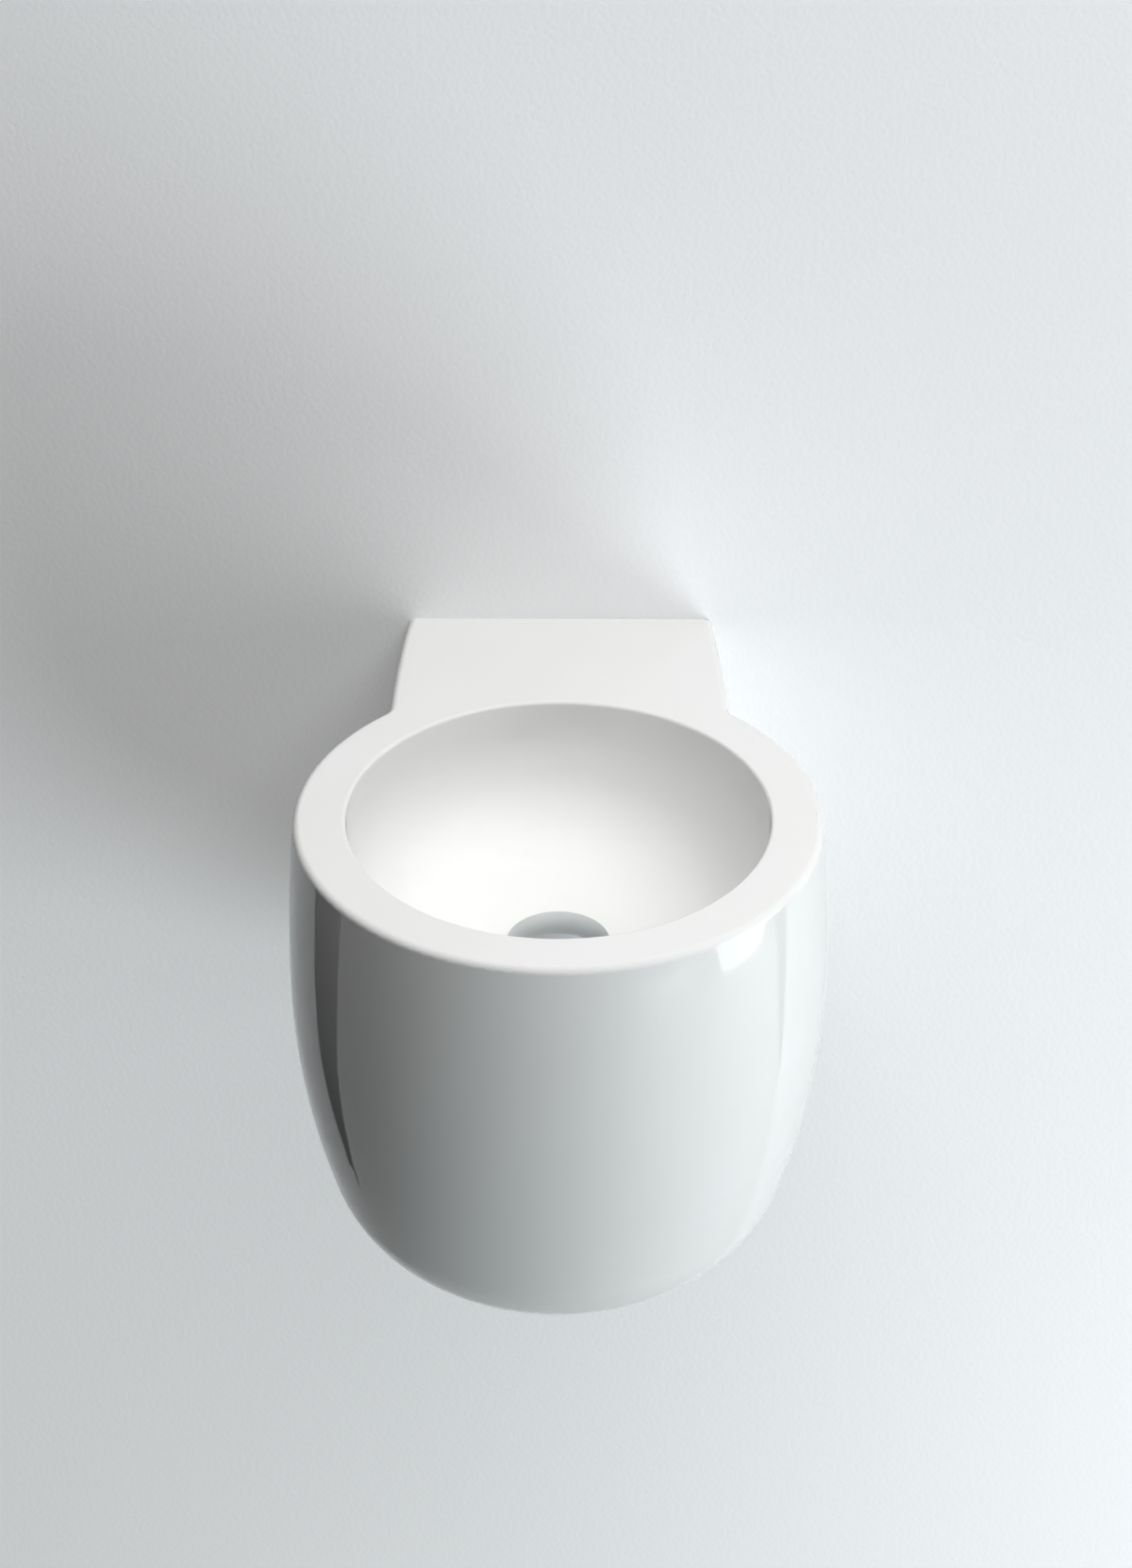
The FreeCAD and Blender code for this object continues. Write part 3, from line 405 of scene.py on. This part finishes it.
def make_crisper(bm, before, after, belongs):
    """Draws a rounding between the deck and a side again with a smaller radius. Its points move
    along the two faces that it joins, and those faces stay in their planes."""
    outward = {}
    for face in bm.faces:
        centre = face.calc_center_median()
        if (face.normal.z > STEEP and belongs(from_axis(centre)) and centre.z < DECK - WELD
                and min(vert.co.z for vert in face.verts) > DECK - before - TOUCH):
            level = Vector((face.normal.x, face.normal.y, 0)) * face.calc_area()
            for vert in face.verts:
                outward[vert] = outward.get(vert, Vector()) + level
    for vert, level in outward.items():
        out = level.normalized()
        rise = 1 - (DECK - vert.co.z) / before
        reach = math.sqrt(max(1 - rise * rise, 0))
        vert.co += (before - after) * ((1 - rise) * UP + (1 - lean(vert.co, out) - reach) * out)


def bare_faces(bm):
    """The faces that the glaze leaves bare: the flat back, and the whole hollow behind it as far
    as the foot's inner edge and the waste hole's upper one."""
    def at_an_edge(vert):
        place = vert.co
        return (place.y > -TOUCH or place.z < FOOT + TOUCH
                or (place.z > SEAT - TOUCH and from_axis(place) < WASTE_HOLE + TOUCH))

    def away(face):
        return (face.calc_center_median() - UNDER_BOSS).length

    start = min(bm.faces, key=away)
    hollow, waiting = {start}, [start]
    while waiting:
        for edge in waiting.pop().edges:
            if not all(at_an_edge(vert) for vert in edge.verts):
                fresh = [face for face in edge.link_faces if face not in hollow]
                hollow.update(fresh)
                waiting.extend(fresh)
    back = {face for face in bm.faces if all(vert.co.y > -TOUCH for vert in face.verts)}
    return hollow | back


def casting():
    bm = copy_of("basin_body")
    bm.normal_update()
    make_crisper(bm, RIM_ROUND, RIM_CRISP, lambda radius: radius > LIP_REACH)
    make_crisper(bm, LIP_ROUND, LIP_CRISP, lambda radius: radius < LIP_REACH)
    for face in bare_faces(bm):
        face.material_index = 1
    finished(bm, "china_casting", [GLAZE, BISQUE], "vitreous_china", "fixed", "basin_body")


# ------------------------------------------------------------------ threads and spring


def without_sleeve(node, radius, low, high):
    """A copy of a node without its outer face between two heights, where a thread goes."""
    bm = copy_of(node)
    bmesh.ops.delete(bm, geom=[
        face for face in bm.faces
        if low < face.calc_center_median().z < high
        and all(abs(from_axis(vert.co) - radius) < TOUCH for vert in face.verts)
    ], context="FACES")
    return bm


def threaded(node, name, form, low, high):
    """A chromed node on the bowl's axis again, with a real thread in place of a plain sleeve."""
    sleeve = thread(form, low, high)
    bmesh.ops.translate(sleeve, verts=sleeve.verts, vec=BOWL_AXIS)
    whole = joined([without_sleeve(node, form.crest, low, high), sleeve])
    finished(whole, name, [CHROME], "chromed_brass", "fixed", node)


STUD_SPACING = 140 * MM
STUD_END = -36 * MM            # heights on a bolt's own axis, which points into the wall
SCREW_START, SCREW_END = 6 * MM, 61 * MM
SCREW_POINT = 14 * MM          # the point's length
STUD_END_RADIUS, TIP_RADIUS = 4 * MM, 0.3 * MM
SHANK_RADIUS, SHANK_CORE = 4.4 * MM, 3 * MM
OVERLAP = 1 * MM               # how far the shank and the threads run into each other


def hanger_bolt():
    """A hanger bolt about the Z axis: an M10 thread, a short shank and a pointed wood thread."""
    metal = thread(METAL_THREAD, STUD_END, 0)
    turn_down(metal, lambda height: STUD_END_RADIUS + height - STUD_END)
    shank = lathe([(SHANK_CORE, -OVERLAP), (SHANK_RADIUS, -OVERLAP), (SHANK_RADIUS, SCREW_START),
                   (SHANK_CORE, SCREW_START)])
    wood = thread(WOOD_THREAD, SCREW_START - OVERLAP, SCREW_END)
    slope = WOOD_THREAD.crest / SCREW_POINT
    turn_down(wood, lambda height: TIP_RADIUS + (SCREW_END - height) * slope)
    for part in (metal, wood):
        close_ends(part)
    return joined([metal, shank, wood])


def hanger_bolts():
    into_wall = Matrix.Rotation(math.radians(-90), 4, "X")
    for name, side in (("left", -1), ("right", 1)):
        bm = hanger_bolt()
        place = Matrix.Translation((side * STUD_SPACING / 2, 0, 0)) @ into_wall
        bmesh.ops.transform(bm, matrix=place, verts=bm.verts)
        finished(bm, f"hanger_bolt_{name}", [ZINC], "zinc_plated_steel", "fixed", "hanger_bolts")


SPRING_FOOT, SPRING_TOP = drop(139), drop(110)
SPRING_RADIUS, SPRING_WIRE = 2.75 * MM, 0.7 * MM
OPEN_TURNS = 6
SPRING_STEPS = 24              # faces in one turn of the wire


def spring():
    """A compression spring of round wire, with one closed turn at each end."""
    bm = bmesh.new()
    bmesh.ops.create_circle(bm, segments=8, radius=SPRING_WIRE / 2)
    foot = BOWL_AXIS + UP * (SPRING_FOOT + SPRING_WIRE / 2)
    stand = Matrix.Translation(foot + Vector((SPRING_RADIUS, 0, 0)))
    bmesh.ops.transform(bm, matrix=stand @ Matrix.Rotation(math.radians(90), 4, "X"),
                        verts=bm.verts)
    open_length = SPRING_TOP - SPRING_FOOT - 3 * SPRING_WIRE
    loop = bm.verts[:] + bm.edges[:]
    for turns, rise in ((1, SPRING_WIRE), (OPEN_TURNS, open_length), (1, SPRING_WIRE)):
        steps = turns * SPRING_STEPS
        loop = bmesh.ops.spin(bm, geom=loop, cent=BOWL_AXIS, axis=UP, angle=turns * math.tau,
                              dvec=UP * rise / steps, steps=steps)["geom_last"]
    bmesh.ops.remove_doubles(bm, verts=bm.verts, dist=WELD)
    close_ends(bm)
    bmesh.ops.recalc_face_normals(bm, faces=bm.faces)
    piece = finished(bm, "wire_spring", [WIRE], "spring_steel", "fixed", "plug_spring")
    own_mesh(piece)


casting()
# A G 1 1/4 pipe thread on the waste's tail, and a coarse flat-topped one for the trap's cup.
threaded("waste_body", "waste_fitting", PIPE_THREAD, drop(182), drop(119.5))
threaded("trap_body", "trap_bottle", CUP_THREAD, drop(292), drop(278))
hanger_bolts()
spring()


# ------------------------------------------------------------------ room, light and camera

# Painted light: an emission on the wall that grows brighter towards the bottom, seen only by the
# camera and mirrors.
PAINTED_LIGHT, PAINTED_LIGHT_DOWN = 0.17, 0.1    # painted light on the wall: its strength at the origin, and its growth for a metre down, so the wall is painted brighter towards the bottom


def seen_straight(tree):
    """1 for what the camera, a mirror or glass sees, and 0 for the light on the basin."""
    path = add(tree, "ShaderNodeLightPath")
    straight = add(tree, "ShaderNodeMath", {
        0: path.outputs["Is Camera Ray"], 1: path.outputs["Is Glossy Ray"],
    }, operation="ADD")
    return add(tree, "ShaderNodeMath", {
        0: straight.outputs["Value"], 1: path.outputs["Is Transmission Ray"],
    }, operation="ADD", use_clamp=True).outputs["Value"]


def stage_material(name, colour):
    """Plain matt paint on the floor and the wall, with painted light that only the camera and
    mirrors see: an emission that makes the wall brighter towards the bottom, and the flat floor
    evenly bright. The paint is seen from its front only, so that a view from behind or below still
    shows the basin."""
    material, tree, surface, place = new_material(name)
    surface.inputs["Base Color"].default_value = linear(colour)
    surface.inputs["Roughness"].default_value = 0.9
    emboss(tree, surface, (noise(tree, place, 4, 3), 0.25))
    height = add(tree, "ShaderNodeSeparateXYZ", {"Vector": place}).outputs["Z"]
    # Painted light: the wall glows more the lower it is, for the camera and mirrors only.
    painted_light_level = add(tree, "ShaderNodeMath", {
        0: height, 1: -PAINTED_LIGHT_DOWN, 2: PAINTED_LIGHT,
    }, operation="MULTIPLY_ADD", use_clamp=True)
    strength = add(tree, "ShaderNodeMath", {
        0: painted_light_level.outputs["Value"], 1: seen_straight(tree),
    }, operation="MULTIPLY")
    # The painted light's colour, a warm white.
    surface.inputs["Emission Color"].default_value = linear("#FFFEFC")
    tree.links.new(strength.outputs["Value"], surface.inputs["Emission Strength"])
    side = add(tree, "ShaderNodeNewGeometry").outputs["Backfacing"]
    clear = add(tree, "ShaderNodeBsdfTransparent")
    both = add(tree, "ShaderNodeMixShader", {
        0: side, 1: surface.outputs["BSDF"], 2: clear.outputs["BSDF"],
    })
    tree.links.new(both.outputs["Shader"], tree.nodes["Material Output"].inputs["Surface"])
    return material


def sheet(name, corners, material):
    """One flat sheet of the stage through four corners."""
    bm = bmesh.new()
    bm.faces.new([bm.verts.new(corner) for corner in corners])
    mesh = bpy.data.meshes.new(name)
    bm.to_mesh(mesh)
    bm.free()
    mesh.materials.append(material)
    piece = bpy.data.objects.new(name, mesh)
    bpy.context.scene.collection.objects.link(piece)
    return piece


FLOOR_HEIGHT = -0.93
WALL_GAP = 0.4 * MM            # the backdrop stands this far behind the casting's back
HALF_ROOM, ROOM_FRONT, WALL_TOP = 4.0, -6.0, 3.0
WALL_LEFT, WALL_RIGHT = -0.68, 1.15    # the wall's ends, which show as edges in the glaze

wall = sheet("wall_backdrop", [
    (WALL_LEFT, WALL_GAP, FLOOR_HEIGHT), (WALL_RIGHT, WALL_GAP, FLOOR_HEIGHT),
    (WALL_RIGHT, WALL_GAP, WALL_TOP), (WALL_LEFT, WALL_GAP, WALL_TOP),
], stage_material("matt_wall_paint_and_painted_light", "#EEEFF1"))
floor = sheet("floor", [
    (-HALF_ROOM, ROOM_FRONT, FLOOR_HEIGHT), (HALF_ROOM, ROOM_FRONT, FLOOR_HEIGHT),
    (HALF_ROOM, WALL_GAP, FLOOR_HEIGHT), (-HALF_ROOM, WALL_GAP, FLOOR_HEIGHT),
], stage_material("matt_floor", "#DADCDD"))
for piece in (wall, floor):
    piece.visible_diffuse = False
    piece.visible_shadow = False


MIDDLE = Vector((0, -0.24, -0.05))     # the lamps aim here


def soft_lamp(name, offset, size, watts, colour, mirrored):
    """A round soft lamp, so far from the middle, that the glaze and the chrome may mirror."""
    place = MIDDLE + Vector(offset)
    light = bpy.data.lights.new(name, "AREA")
    light.shape = "DISK"
    light.size = size
    light.energy = watts
    light.color = colour
    lamp = bpy.data.objects.new(name, light)
    lamp.location = place
    lamp.rotation_mode = "QUATERNION"
    lamp.rotation_quaternion = (MIDDLE - place).to_track_quat("-Z", "Y")
    lamp.visible_glossy = mirrored
    bpy.context.scene.collection.objects.link(lamp)


# The glaze and the chrome show the pale sky where the top and front lamps would be.
soft_lamp("side_lamp", (2.0, -0.4, -0.3), size=1.4, watts=15, colour=(0.95, 0.98, 1.0),
          mirrored=True)
soft_lamp("top_lamp", (0.45, -0.22, 1.95), size=2.4, watts=47, colour=(1.0, 1.0, 1.0),
          mirrored=False)
soft_lamp("front_lamp", (1.4, -1.5, -1.15), size=1.2, watts=28, colour=(0.9, 0.98, 1.0),
          mirrored=False)

SKY_LIGHT, SKY_SEEN = 0.035, 0.9       # its strength as a light, and what is seen of it overhead
SKY_FADE = (0.1, 0.6)                  # how steeply up a look goes where the seen sky fades in

world = bpy.data.worlds.new("soft_daylight")
bpy.context.scene.world = world
world.use_nodes = True
sky_tree = world.node_tree
sky = sky_tree.nodes["Background"]
sky.inputs["Color"].default_value = linear("#EDF4F4")
toward = add(sky_tree, "ShaderNodeTexCoord").outputs["Generated"]
overhead = add(sky_tree, "ShaderNodeMapRange", {
    "Value": add(sky_tree, "ShaderNodeSeparateXYZ", {"Vector": toward}).outputs["Z"],
    "From Min": SKY_FADE[0], "From Max": SKY_FADE[1], "To Min": 0.0, "To Max": SKY_SEEN,
}).outputs["Result"]
sky_strength = add(sky_tree, "ShaderNodeMath", {
    0: overhead, 1: seen_straight(sky_tree), 2: SKY_LIGHT,
}, operation="MULTIPLY_ADD").outputs["Value"]
sky_tree.links.new(sky_strength, sky.inputs["Strength"])

LENS, LONG_SIDE = 71.72, 36    # millimetres, the second for the picture's long side
CAMERA_PLACE = (0.0078, -1.971, 1.2026)
PITCH, YAW, ROLL = math.radians(-32.91), math.radians(0.094), math.radians(0.112)

camera = bpy.data.objects.new("camera", bpy.data.cameras.new("camera"))
camera.data.sensor_width = LONG_SIDE
camera.data.lens = LENS
turn = (
    Matrix.Rotation(YAW, 4, "Z")
    @ Matrix.Rotation(math.pi / 2 + PITCH, 4, "X")
    @ Matrix.Rotation(ROLL, 4, "Z")
)
camera.matrix_world = Matrix.Translation(CAMERA_PLACE) @ turn
bpy.context.scene.collection.objects.link(camera)
bpy.context.scene.camera = camera
bpy.context.scene.view_settings.view_transform = "Standard"
